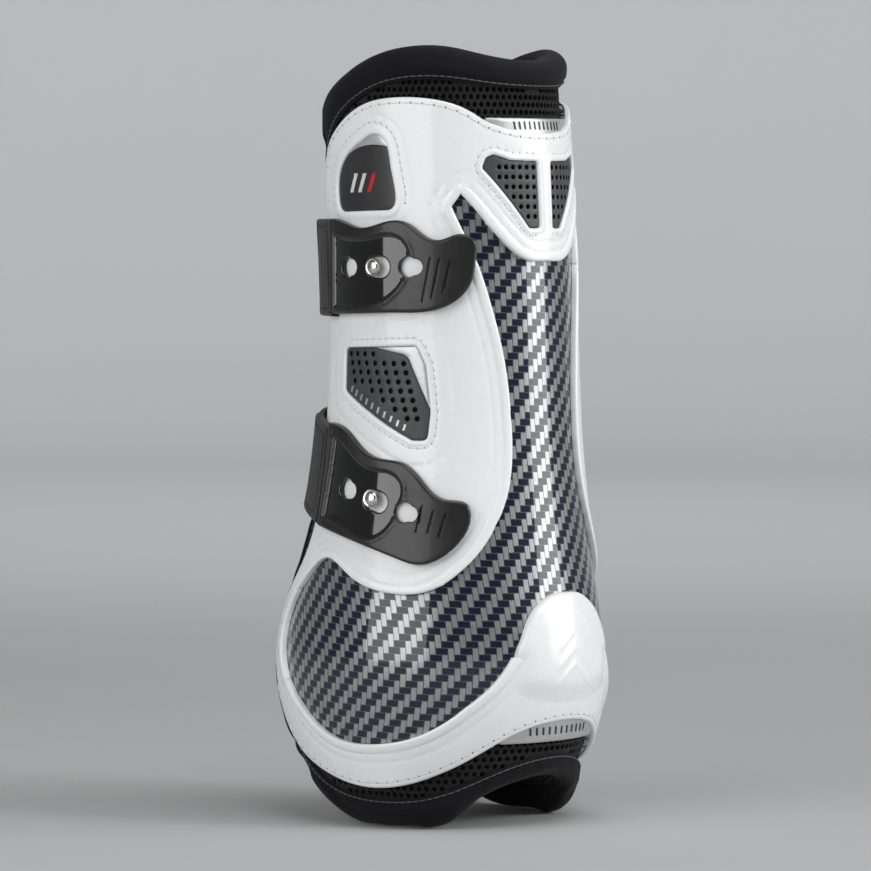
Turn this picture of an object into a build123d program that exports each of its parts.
from build123d import *
import os
from math import atan2, cos, degrees, radians, sin, sqrt

# Open-front tendon boot for the foreleg of a full-size horse.  Millimetres.
# +Z runs up the leg, +X points to the back of the leg (the tendon), -Y is the outer side, where the
# strap ends lie, and the origin is on the leg's axis at floor level.
#
# Every layer of the boot is a slice of one egg-shaped column, the leg form.  A layer lies between two
# insets of that form (0 is the shell's outer face, positive is towards the leg), and its outline is cut
# in side view, so both sides are alike and the front stays open.

os.makedirs("parts", exist_ok=True)

# ---- driving dimensions ----
# Leg form: height, centre shift, half width, depth to the back, depth to the front
LEG_SECTIONS = [
    (-14, -2.0, 37.0, 37.5, 46.0),
    (8, -1.9, 42.8, 42.8, 54.5),
    (30, -1.5, 49.5, 49.5, 63.0),
    (54, -1.0, 53.2, 53.2, 67.5),
    (79, -0.5, 50.2, 50.2, 61.2),
    (104, 0.0, 45.5, 46.0, 53.0),
    (136, 0.5, 42.2, 42.7, 48.0),
    (174, 0.8, 41.0, 41.0, 46.5),
    (209, 0.0, 40.5, 40.5, 48.5),
    (240, -1.5, 40.0, 40.0, 50.0),
    (276, -3.2, 39.4, 39.4, 50.0),
]

SLOPE_STEP = 5.0

# Insets of the layers, outer face and inner face
SHELL = (0.0, 1.8)
PLATE = (1.9, 3.3)
MESH = (3.5, 5.5)
CORE = (5.6, 9.4)
LINING = (9.5, 10.7)
BINDING = (0.8, 11.6)
INSERT = (0.5, 1.75)
GUARD = (-1.4, 1.75)
FIT = 0.15

# Straps, outside the shell
ELASTIC = (-2.3, -0.3)
CUFF = (-3.2, -0.3)
TAB = (-3.1, -0.3)
TAB_FLOOR = -2.1
ANCHOR = (-4.2, -2.4)
FRONT_EDGE = 150.5
FRONT_BINDING = 10.0
HINGE_INNER = 147.0
HINGE_OUTER = -143.5
HINGE_GAP = 0.9
CUFF_GAP = 0.11

# Fasteners
STUD_SHANK = 3.0
STUD_HEAD = 6.0
STUD_HEAD_RISE = 1.4
STUD_HEAD_RIM = 0.6
STUD_LIFT = 2.35
WASHER = 8.0
WASHER_THICKNESS = 0.8
WASHER_GAP = 0.4
WASHER_CLEARANCE = 0.05
PIN_OVERLAP = 0.1
RIVET_SHANK = 2.4
RIVET_HEAD = 4.6
HOLE_CLEARANCE = 0.2
DRILL_START = -1.0
DRILL_END = 6.0

# Keyholes: a wide round end and a narrower one towards the tab's free end.  The one in use is a slot of
# one width, so that the stud's head leaves it as the tab swings away.
KEYHOLE_WIDE = 7.0
KEYHOLE_NARROW = 5.5
KEYHOLE_SHIFT = 2.3
SLOT_SHIFT = 2.7
KEYHOLE_FLOOR = -2.0
KEYHOLE_DEPTH = 10.0

# How far outlines and cutting prisms run past the boot
BACK = 70.0
REACH = 90.0
LAYER_MARGIN = 1.0
PIN_MARGIN = 0.5
SECTOR_STEP = 40.0

# ---- outlines in side view: X, Z ----
SHELL_EDGE = [
    (BACK, 233.2), (38.5, 233.4), (34, 235.8), (28, 241.2), (20, 244.2), (7, 245), (-6, 243.2),
    (-21, 236), (-29.5, 228.4), (-33, 217), (-31.8, 195), (-30.6, 160), (-30, 125), (-31, 101),
    (-36.5, 88), (-46.5, 77), (-52, 63), (-52, 47), (-45, 32), (-33, 22.2), (-20, 17.2), (-8, 14.4),
    (4, 13.8), (14, 15.2), (24, 18.6), (32, 22.8), (40, 28.8), (48, 35.4), (BACK, 36.3),
]
RIM_FRONT = [
    (BACK, 258.4), (52, 258.4), (37.5, 258.5), (32, 260.4), (24, 262.6), (14, 263), (3, 261.8), (-9, 258.8),
    (-24, 253), (-35, 247.4), (-41.4, 240), (-42.4, 228), (-40.6, 205), (-39.5, 165), (-40, 132),
    (-42.5, 107), (-49.5, 91), (-56.5, 76), (-58.8, 60), (-57, 43), (-50, 25.5), (-38, 12.4),
    (-24, 4.6), (-15.5, 1.2),
]
RIM_FOOT = (-8.0, 18.0)
RIM_BACK = [(31, 7.8), (40.5, 15.4), (46, 18.4), (BACK, 18.8)]
CORE_EDGE = [
    (BACK, 248.2), (37.5, 248.5), (31.6, 249.4), (25, 251), (17, 252), (8, 251.6), (-4, 248.8),
    (-16, 243.4), (-26, 236.6), (-32.4, 228), (-33, 214), (-31.6, 190), (-30.8, 160), (-31, 130),
    (-33, 108), (-39.5, 94), (-48, 80), (-51.4, 62), (-49.6, 46), (-42, 27), (-30, 16.4), (-18, 11.4),
    (-6, 9.3), (6, 9), (18, 10.4), (28, 14.4), (38, 20.8), (46, 25.8), (BACK, 26.4),
]
BINDING_TOP_SPLIT = 226.0
BINDING_BOTTOM_SPLIT = 34.0

BADGE = [
    (-16.5, 206.9), (-19.4, 208.4), (-20.5, 211.5), (-19.6, 220.5), (-15.3, 225.8), (-7, 230.8),
    (-0.5, 232.8), (2.8, 231.2), (5.8, 222.5), (8.0, 212.5), (7.8, 209.4), (5.4, 207.4),
]
BADGE_SPLIT = [(-18, 224), (-5.3, 229), (6.5, 227.8)]
BADGE_SPLIT_RISE = 20.0
VENT = [
    (-15.3, 161.1), (16.4, 162.2), (19.4, 155.5), (21.2, 140), (20.6, 130.6), (15.6, 130.6), (-15.3, 146.6),
]
VENT_CORNER = 1.8
SLIVER_CORNER = 0.3
SLIVER = [(-0.5, 164), (0.4, 161.3), (11.7, 159.2), (13.3, 158), (20.8, 141), (30, 141), (30, 164)]
LOBE = [
    (38, 94), (35.3, 90.4), (29.3, 83), (22.5, 80), (14, 79.8), (5.5, 81.2), (-5, 85.2), (-18, 90.3),
    (-28, 85), (-37.6, 76.1), (-42.4, 67.5), (-43, 58), (-39.5, 50.2), (-32.6, 42.8), (-24, 36.2),
    (-15, 31.4), (-4, 29), (8, 29.2), (18, 31), (27, 34.8), (36.7, 42.6),
]

# ---- outlines from the back: Y, Z ----
BACK_WINDOW_TOP = [(0, 190.3), (8, 190.5), (12, 192), (16, 195.2), (20.6, 200.4), (29, 212.7)]
BACK_WINDOW_SIDE = [
    (31.2, 208.6), (28.1, 198), (25.2, 189), (21.8, 175.5), (18.2, 158), (16.6, 140), (16.8, 126),
    (18.8, 114.5), (23.5, 103), (30, 93), (39, 83.4),
]
BACK_WINDOW_FOOT = [(39, 38.6), (35.8, 42.6), (31, 48), (26, 54.8), (22, 62)]
GUARD_TOP = [(22, 62), (18, 70), (12.8, 75.8), (7, 78.9), (0, 79.6)]
GUARD_FOOT = [(22, 62), (24.2, 54), (23, 46.6), (17, 43.4), (9, 42), (0, 41.6)]
BACK_VENT = [(3.3, 223.7), (14, 224), (19.6, 225.9), (21.9, 225), (23.3, 221.4), (7.8, 201.2), (3.1, 201.4)]
BACK_VENT_CORNER = 0.7
TOP_LABEL = (20.5, 231.6, 238.2)
BOTTOM_LABEL = (23.5, 29.3, 37.9)
LABEL_CORNER = 1.0

# ---- straps: centre line of the elastic, then the tab's outlines in side view: X, Z ----
UPPER = {
    "centre": (-27.0, 188.0),
    "slope": 0.0,
    "tab": [
        (-34, 204.6), (-24, 205), (-14, 203.3), (-5, 201.5), (3.4, 202.9), (9.6, 204), (14, 202.7),
        (18.4, 199.2), (23.4, 197.5), (28.6, 199.5), (31, 198.4), (32.1, 192), (31.4, 184),
        (27.8, 177.2), (21, 173.8), (12, 173.2), (-6, 172.7), (-34, 171.4),
    ],
    "floor": [
        (-19.6, 199.2), (-9, 197.4), (0, 198), (6, 199), (12, 197.8), (14.4, 194.6), (13.4, 185.4),
        (10, 180.6), (3, 176.4), (-8, 175), (-19.6, 174.8),
    ],
    "stud": (1.4, 188.3),
    "holes": [(-11.6, 188.2), (14.1, 188.5)],
    "grips": [((22.3, 192), (19.8, 176.5)), ((24.9, 191.7), (22.6, 177.5)), ((27.6, 190.4), (25.8, 179.1))],
}
LOWER = {
    "centre": (-27.0, 118.7),
    "slope": -0.27,
    "tab": [
        (-34, 138), (-25, 136), (-16.8, 135.2), (-11, 133.2), (-5.4, 129.3), (0, 126), (6, 124.4),
        (14, 123.1), (18, 120.2), (23.3, 114), (27.5, 111.3), (32.2, 110.4), (34, 105.6), (32.4, 97.8),
        (28, 91.9), (22.4, 89.7), (16, 91.2), (3.5, 95.2), (-12, 99), (-38, 103.8),
    ],
    "floor": [
        (-16.6, 131), (-10, 127.5), (-2, 122.4), (5, 120.6), (11.4, 119.4), (14.6, 116), (14.2, 109),
        (11.6, 102.8), (7, 98.8), (-5, 101), (-20, 104.4),
    ],
    "stud": (3.6, 110.6),
    "holes": [(-8.6, 113.9), (15.6, 107)],
    "grips": [((22.6, 109.8), (20.6, 96)), ((26, 108), (24.2, 96)), ((29.4, 107), (28, 98.6))],
}
ELASTIC_HEIGHT = 32.0
BAND_CORNER = 1.0
CUFF_MARGIN = 1.0
TAB_START = -118.5
TAB_END = -5.0
GRIP_WIDTH = 0.9
GRIP_DEPTH = 0.5
ANCHOR_START = 96.0
ANCHOR_PLATE = (-28.0, -6.0)
ANCHOR_PLATE_HEIGHT = 27.0
ANCHOR_PLATE_CORNER = 3.0
RIVETS = (-23.0, -11.0)


# ---- helpers ----
def leg_form(inset):
    """The egg-shaped column, moved inwards by inset."""
    with BuildPart() as column:
        for height, shift, half_width, back, front in LEG_SECTIONS:
            with BuildSketch(Plane.XY.offset(height)):
                with BuildLine():
                    width = half_width - inset
                    EllipticalCenterArc((shift, 0), back - inset, width, start_angle=-90, arc_size=180)
                    EllipticalCenterArc((shift, 0), front - inset, width, start_angle=90, arc_size=180)
                make_face()
        loft()
    return column.part


def wall(insets):
    """The closed wall between two insets of the leg form."""
    with BuildPart() as hollow:
        add(leg_form(insets[0]))
        add(leg_form(insets[1]), mode=Mode.SUBTRACT)
    return hollow.part


def curve_face(plane, points):
    """A face inside one smooth curve through the points, closed by a straight line."""
    with BuildSketch(plane) as face:
        with BuildLine():
            Spline(*points)
            Line(points[-1], points[0])
        make_face()
    return face.sketch


def corner_face(plane, points, radius, shrink=0):
    """A straight-sided face with round corners."""
    with BuildSketch(plane) as face:
        with BuildLine():
            Polyline(*points, close=True)
        make_face()
        fillet(face.vertices(), radius)
        if shrink:
            offset(amount=-shrink)
    return face.sketch


def reach_through(face, both=True, side=1):
    """The prism of a side-view or back-view face; side 1 is the face's own direction."""
    with BuildPart() as prism:
        extrude(face, amount=side * REACH, both=both)
    return prism.part


def sector(start, end):
    """A vertical wedge about the leg's axis, from one polar angle to another, in degrees."""
    steps = max(2, int(abs(end - start) // SECTOR_STEP) + 1)
    rim = [start + (end - start) * step / steps for step in range(steps + 1)]
    corners = [(3 * REACH * cos(radians(angle)), 3 * REACH * sin(radians(angle))) for angle in rim]
    with BuildPart() as wedge:
        with BuildSketch(Plane.XY.offset(LEG_SECTIONS[0][0])):
            with BuildLine():
                Polyline((0, 0), *corners, close=True)
            make_face()
        extrude(amount=LEG_SECTIONS[-1][0] - LEG_SECTIONS[0][0])
    return wedge.part


def form_section(height):
    """The leg form's section at a height, straight between the given ones."""
    for low, high in zip(LEG_SECTIONS, LEG_SECTIONS[1:]):
        if low[0] <= height <= high[0]:
            share = (height - low[0]) / (high[0] - low[0])
            return [a + (b - a) * share for a, b in zip(low, high)]
    raise ValueError("height is off the leg form")


def seat(x, height, side=-1):
    """Plane on the shell's outer face at x and height; its normal points away from the leg."""
    _, shift, half_width, back, front = form_section(height)
    depth = back if x > shift else front
    y = side * half_width * sqrt(1 - ((x - shift) / depth) ** 2)
    step = SLOPE_STEP
    widening = (form_section(height - step)[2] - form_section(height + step)[2]) / (2 * step)
    normal = Vector((x - shift) / depth ** 2, y / half_width ** 2, 0).normalized()
    across = (abs(normal.Y), -side * normal.X, 0)
    return Plane(origin=(x, y, height), x_dir=across, z_dir=normal + Vector(0, 0, widening))


def pin(plane, diameter, low, high):
    """A round pin along the plane's normal, from low to high above the plane."""
    with BuildPart() as shaft:
        with BuildSketch(plane.offset(low)):
            Circle(diameter / 2)
        extrude(amount=high - low)
    return shaft.part


def trimmed(layer, keep, remove=()):
    """A layer cut to the inside of one prism and the outside of others."""
    with BuildPart() as piece:
        add(layer)
        for shape in keep:
            add(shape, mode=Mode.INTERSECT)
        for shape in remove:
            add(shape, mode=Mode.SUBTRACT)
    return piece.part


def save(part, name):
    """Label a finished piece and write it."""
    part.label = name
    export_step(part, f"parts/{name}.step")


# ---- walls and outlines used more than once ----
shell_wall = wall(SHELL)
plate_wall = wall(PLATE)
insert_wall = wall(INSERT)
elastic_wall = wall(ELASTIC)
tab_wall = wall(TAB)

with BuildSketch(Plane.XZ) as rim_outline:
    with BuildLine():
        foot = Line((RIM_FOOT[0], 0), (RIM_FOOT[1], 0))
        Spline(*RIM_FRONT, foot @ 0)
        Spline(foot @ 1, *RIM_BACK, tangents=[(1, 0), (1, 0)])
        Line(RIM_BACK[-1], RIM_FRONT[0])
    make_face()
rim_prism = reach_through(rim_outline.sketch)

core_prism = reach_through(curve_face(Plane.XZ, CORE_EDGE))

shell_prism = reach_through(curve_face(Plane.XZ, SHELL_EDGE))
lobe_prism = reach_through(curve_face(Plane.XZ, LOBE))

with BuildSketch(Plane.YZ) as back_window:
    with BuildLine():
        Spline(*BACK_WINDOW_TOP, tangents=[(1, 0), (0.57, 0.82)])
        Line(BACK_WINDOW_TOP[-1], BACK_WINDOW_SIDE[0])
        Spline(*BACK_WINDOW_SIDE)
        Line(BACK_WINDOW_SIDE[-1], BACK_WINDOW_FOOT[0])
        Spline(*BACK_WINDOW_FOOT)
        Spline(*GUARD_TOP, tangents=[(-0.45, 0.9), (-1, 0)])
        mirror(about=Plane.YZ)
    make_face()
back_window_prism = reach_through(back_window.sketch, both=False)

with BuildSketch(Plane.YZ) as guard_outline:
    with BuildLine():
        Spline(*GUARD_TOP, tangents=[(-0.45, 0.9), (-1, 0)])
        Spline(*GUARD_FOOT, tangents=[(0.45, -0.9), (-1, 0)])
        mirror(about=Plane.YZ)
    make_face()
guard_prism = reach_through(guard_outline.sketch, both=False)

badge_prism = reach_through(curve_face(Plane.XZ, BADGE))
vent_prism = reach_through(corner_face(Plane.XZ, VENT, VENT_CORNER))
sliver_prism = reach_through(corner_face(Plane.XZ, SLIVER, SLIVER_CORNER))
back_vent_prism = reach_through(corner_face(Plane.YZ, BACK_VENT, BACK_VENT_CORNER), both=False)
back_vent_prisms = [back_vent_prism, back_vent_prism.mirror(Plane.XZ)]

with BuildSketch(Plane.XZ) as badge_top:
    with BuildLine():
        ThreePointArc(*BADGE_SPLIT)
        badge_split_top = BADGE_SPLIT[2][1] + BADGE_SPLIT_RISE
        Polyline(
            BADGE_SPLIT[2],
            (BADGE_SPLIT[2][0], badge_split_top),
            (BADGE_SPLIT[0][0], badge_split_top),
            BADGE_SPLIT[0],
        )
    make_face()
badge_top_prism = reach_through(badge_top.sketch)


# ---- fastener places ----
def strap_height(strap, x):
    """Height of a strap's centre line at x."""
    return strap["centre"][1] + strap["slope"] * (x - strap["centre"][0])


STRAPS = {"upper": UPPER, "lower": LOWER}
stud_seats = {name: seat(*strap["stud"]) for name, strap in STRAPS.items()}
rivet_seats = {
    name: [seat(x, strap_height(strap, x), side=1) for x in RIVETS] for name, strap in STRAPS.items()
}
shank_holes = []
washer_pockets = []
for plane in stud_seats.values():
    shank_holes.append(pin(plane, STUD_SHANK + 2 * HOLE_CLEARANCE, -PLATE[1] - PIN_MARGIN, DRILL_END))
    washer_pockets.append(pin(plane, WASHER + 4 * HOLE_CLEARANCE, -MESH[1] - PIN_MARGIN, -PLATE[1]))
for planes in rivet_seats.values():
    for plane in planes:
        shank_holes.append(pin(plane, RIVET_SHANK + 2 * HOLE_CLEARANCE, -PLATE[1] - PIN_MARGIN, DRILL_END))
        washer_pockets.append(pin(plane, RIVET_HEAD + 4 * HOLE_CLEARANCE, -MESH[1] - PIN_MARGIN, -PLATE[1]))

# ---- shell, strike plate and inserts ----
outer_frame = trimmed(
    shell_wall,
    [shell_prism],
    [lobe_prism, back_window_prism, guard_prism, badge_prism, vent_prism, *back_vent_prisms, *shank_holes],
)
save(outer_frame, "outer_frame")

with BuildPart() as label_space:
    for half_width, low, high in (TOP_LABEL, BOTTOM_LABEL):
        with BuildSketch(Plane.YZ):
            with Locations((0, (low + high) / 2)):
                Rectangle(2 * half_width + 2 * FIT, high - low + 2 * FIT)
        extrude(amount=REACH)
strike_plate = trimmed(plate_wall, [shell_prism], [label_space.part, *shank_holes])
save(strike_plate, "strike_plate")

for name, (half_width, low, high) in (("top_label", TOP_LABEL), ("bottom_label", BOTTOM_LABEL)):
    with BuildPart() as label:
        add(plate_wall)
        with BuildSketch(Plane.YZ):
            with Locations((0, (low + high) / 2)):
                RectangleRounded(2 * half_width, high - low, LABEL_CORNER)
        extrude(amount=REACH, mode=Mode.INTERSECT)
    save(label.part, name)

save(trimmed(wall(GUARD), [guard_prism]), "fetlock_guard")

# Inserts in the shell's windows, one on each side of the leg
outer_half = sector(-180, 0)
inner_half = sector(0, 180)
vent_fit = reach_through(corner_face(Plane.XZ, VENT, VENT_CORNER, FIT))
back_vent_fit = reach_through(corner_face(Plane.YZ, BACK_VENT, BACK_VENT_CORNER, FIT), both=False)
for side, half in (("outer", outer_half), ("inner", inner_half)):
    save(trimmed(insert_wall, [badge_prism, half], [badge_top_prism]), f"{side}_badge")
    save(trimmed(insert_wall, [badge_prism, half, badge_top_prism]), f"{side}_badge_crescent")
    save(trimmed(insert_wall, [vent_fit, half], [sliver_prism]), f"{side}_side_vent")
    save(trimmed(insert_wall, [vent_fit, half, sliver_prism]), f"{side}_vent_sliver")

save(trimmed(insert_wall, [back_vent_fit]), "inner_back_vent")
save(trimmed(insert_wall, [back_vent_fit.mirror(Plane.XZ)]), "outer_back_vent")

# ---- liner: mesh, padding, lining and the binding round its edge ----
binding_gap = sector(FRONT_EDGE, 360 - FRONT_EDGE)
core_gap = sector(FRONT_EDGE - FRONT_BINDING, 360 - FRONT_EDGE + FRONT_BINDING)
save(trimmed(wall(MESH), [core_prism], [core_gap, *washer_pockets]), "spacer_mesh")
save(trimmed(wall(CORE), [core_prism], [core_gap]), "neoprene_core")
save(trimmed(wall(LINING), [core_prism], [core_gap]), "inner_lining")

with BuildPart() as core_space:
    add(core_prism)
    add(core_gap, mode=Mode.SUBTRACT)
shell_space = trimmed(wall((SHELL[0] - LAYER_MARGIN, MESH[0])), [shell_prism])
binding_ring = trimmed(wall(BINDING), [rim_prism], [core_space.part, binding_gap, shell_space])
with BuildPart() as top_space:
    with BuildSketch(Plane.XY.offset(BINDING_TOP_SPLIT)):
        Rectangle(3 * REACH, 3 * REACH)
    extrude(amount=REACH)
with BuildPart() as bottom_space:
    with BuildSketch(Plane.XY.offset(BINDING_BOTTOM_SPLIT)):
        Rectangle(3 * REACH, 3 * REACH)
    extrude(amount=-REACH)
save(trimmed(binding_ring, [top_space.part]), "top_binding")
save(trimmed(binding_ring, [bottom_space.part]), "bottom_binding")
front_bindings = trimmed(binding_ring, [], [top_space.part, bottom_space.part])
save(trimmed(front_bindings, [outer_half]), "outer_front_binding")
save(trimmed(front_bindings, [inner_half]), "inner_front_binding")

# ---- straps: elastic from the inner side round the front, cuff and tab on the outer side ----
def band(strap, height):
    """Side-view prism of a strap's straight band."""
    ends = (-REACH, REACH)
    low = [(x, strap_height(strap, x) - height / 2) for x in ends]
    high = [(x, strap_height(strap, x) + height / 2) for x in reversed(ends)]
    return reach_through(corner_face(Plane.XZ, low + high, BAND_CORNER))


def keyhole(plane, slope):
    """Wide round hole with a narrower one towards the tab's free end."""
    length = sqrt(slope ** 2 + 1)
    with BuildPart() as hole:
        with BuildSketch(plane.offset(KEYHOLE_FLOOR)):
            Circle(KEYHOLE_WIDE / 2)
            with Locations((KEYHOLE_SHIFT / length, KEYHOLE_SHIFT * slope / length)):
                Circle(KEYHOLE_NARROW / 2)
        extrude(amount=KEYHOLE_DEPTH)
    return hole.part


def release_slot(plane, slope):
    """Keyhole with two wide ends, as long as SLOT_SHIFT between their centres."""
    length = sqrt(slope ** 2 + 1)
    middle = (SLOT_SHIFT / length / 2, SLOT_SHIFT * slope / length / 2)
    with BuildPart() as slot:
        with BuildSketch(plane.offset(KEYHOLE_FLOOR)):
            with Locations(Location(middle, degrees(atan2(slope, 1)))):
                SlotCenterToCenter(SLOT_SHIFT, KEYHOLE_WIDE)
        extrude(amount=KEYHOLE_DEPTH)
    return slot.part


def groove_prism(ends):
    """A narrow slot in side view, from one end of a grip line to the other."""
    (x0, z0), (x1, z1) = ends
    with BuildSketch(Plane.XZ) as slot:
        with Locations(Location(((x0 + x1) / 2, (z0 + z1) / 2), degrees(atan2(z1 - z0, x1 - x0)))):
            SlotOverall(sqrt((x1 - x0) ** 2 + (z1 - z0) ** 2), GRIP_WIDTH)
    return reach_through(slot.sketch)


def stud(plane):
    """Domed stud: shank through the shell and strike plate, head outside the tab."""
    with BuildPart() as piece:
        add(pin(plane, STUD_SHANK, -PLATE[1] - WASHER_THICKNESS - WASHER_GAP, STUD_LIFT + PIN_OVERLAP))
        with BuildSketch(plane.offset(STUD_LIFT)):
            Circle(STUD_HEAD / 2)
        extrude(amount=STUD_HEAD_RISE)
        rims = piece.edges().filter_by(GeomType.CIRCLE)
        top_rim = rims.sort_by(lambda edge: plane.to_local_coords(edge.center()).Z)[-1]
        fillet(top_rim, STUD_HEAD_RISE - STUD_HEAD_RIM)
    return piece.part


def stud_washer(plane):
    """Flat washer that backs a stud, in the spacer mesh."""
    with BuildPart() as piece:
        with BuildSketch(plane.offset(-PLATE[1] - WASHER_THICKNESS - WASHER_GAP)):
            Circle(WASHER / 2)
            Circle(STUD_SHANK / 2 + WASHER_CLEARANCE, mode=Mode.SUBTRACT)
        extrude(amount=WASHER_THICKNESS)
    return piece.part


def rivet(plane):
    """Rivet through the anchor plate, elastic, shell and strike plate, with a head at both ends."""
    with BuildPart() as piece:
        head = -ANCHOR[0] + PIN_OVERLAP
        foot = -PLATE[1] - WASHER_GAP
        add(pin(plane, RIVET_SHANK, foot - PIN_OVERLAP, head + PIN_OVERLAP))
        add(pin(plane, RIVET_HEAD, foot - WASHER_THICKNESS, foot))
        add(pin(plane, RIVET_HEAD, head, head + WASHER_THICKNESS))
    return piece.part


anchor_sector = sector(ANCHOR_START, HINGE_INNER - HINGE_GAP / 2)
base_sector = sector(HINGE_INNER + HINGE_GAP / 2, 360 + HINGE_OUTER - HINGE_GAP / 2)
cuff_sector = sector(360 + HINGE_OUTER + HINGE_GAP / 2, 360 + TAB_START)
tab_sector = sector(TAB_START + CUFF_GAP, TAB_END)

for name, strap in STRAPS.items():
    strap_band = band(strap, ELASTIC_HEIGHT)
    rivet_hole = RIVET_SHANK + 2 * HOLE_CLEARANCE
    rivet_holes = [pin(plane, rivet_hole, DRILL_START, DRILL_END) for plane in rivet_seats[name]]
    save(trimmed(elastic_wall, [strap_band, anchor_sector], rivet_holes), f"{name}_strap_anchor")
    save(trimmed(elastic_wall, [strap_band, base_sector]), f"{name}_strap_elastic")
    cuff_band = band(strap, ELASTIC_HEIGHT + CUFF_MARGIN)
    save(trimmed(wall(CUFF), [cuff_band, cuff_sector]), f"{name}_strap_cuff")

    plate_low, plate_high = ANCHOR_PLATE
    plate_corners = [
        (x, strap_height(strap, x) + rise * ANCHOR_PLATE_HEIGHT / 2)
        for x, rise in ((plate_low, -1), (plate_high, -1), (plate_high, 1), (plate_low, 1))
    ]
    plate_face = corner_face(Plane.XZ, plate_corners, ANCHOR_PLATE_CORNER)
    plate_shape = reach_through(plate_face, both=False, side=-1)
    save(trimmed(wall(ANCHOR), [plate_shape], rivet_holes), f"{name}_anchor_plate")
    with BuildPart() as rivets:
        for plane in rivet_seats[name]:
            add(rivet(plane))
    save(rivets.part, f"{name}_anchor_rivets")

    holes = [keyhole(seat(*place), strap["slope"]) for place in strap["holes"]]
    holes.append(release_slot(stud_seats[name], strap["slope"]))
    floor_prism = reach_through(curve_face(Plane.XZ, strap["floor"]))
    floor = trimmed(wall((TAB[0] - LAYER_MARGIN, TAB_FLOOR)), [floor_prism])
    grip_wall = wall((TAB[0] - LAYER_MARGIN, TAB[0] + GRIP_DEPTH))
    grooves = [trimmed(grip_wall, [groove_prism(ends)]) for ends in strap["grips"]]
    tab_shape = reach_through(curve_face(Plane.XZ, strap["tab"]), both=False)
    save(trimmed(tab_wall, [tab_shape, tab_sector], [floor, *grooves, *holes]), f"{name}_strap_tab")

    save(stud(stud_seats[name]), f"{name}_stud")

with BuildPart() as washers:
    for plane in stud_seats.values():
        add(stud_washer(plane))
save(washers.part, "stud_washers")
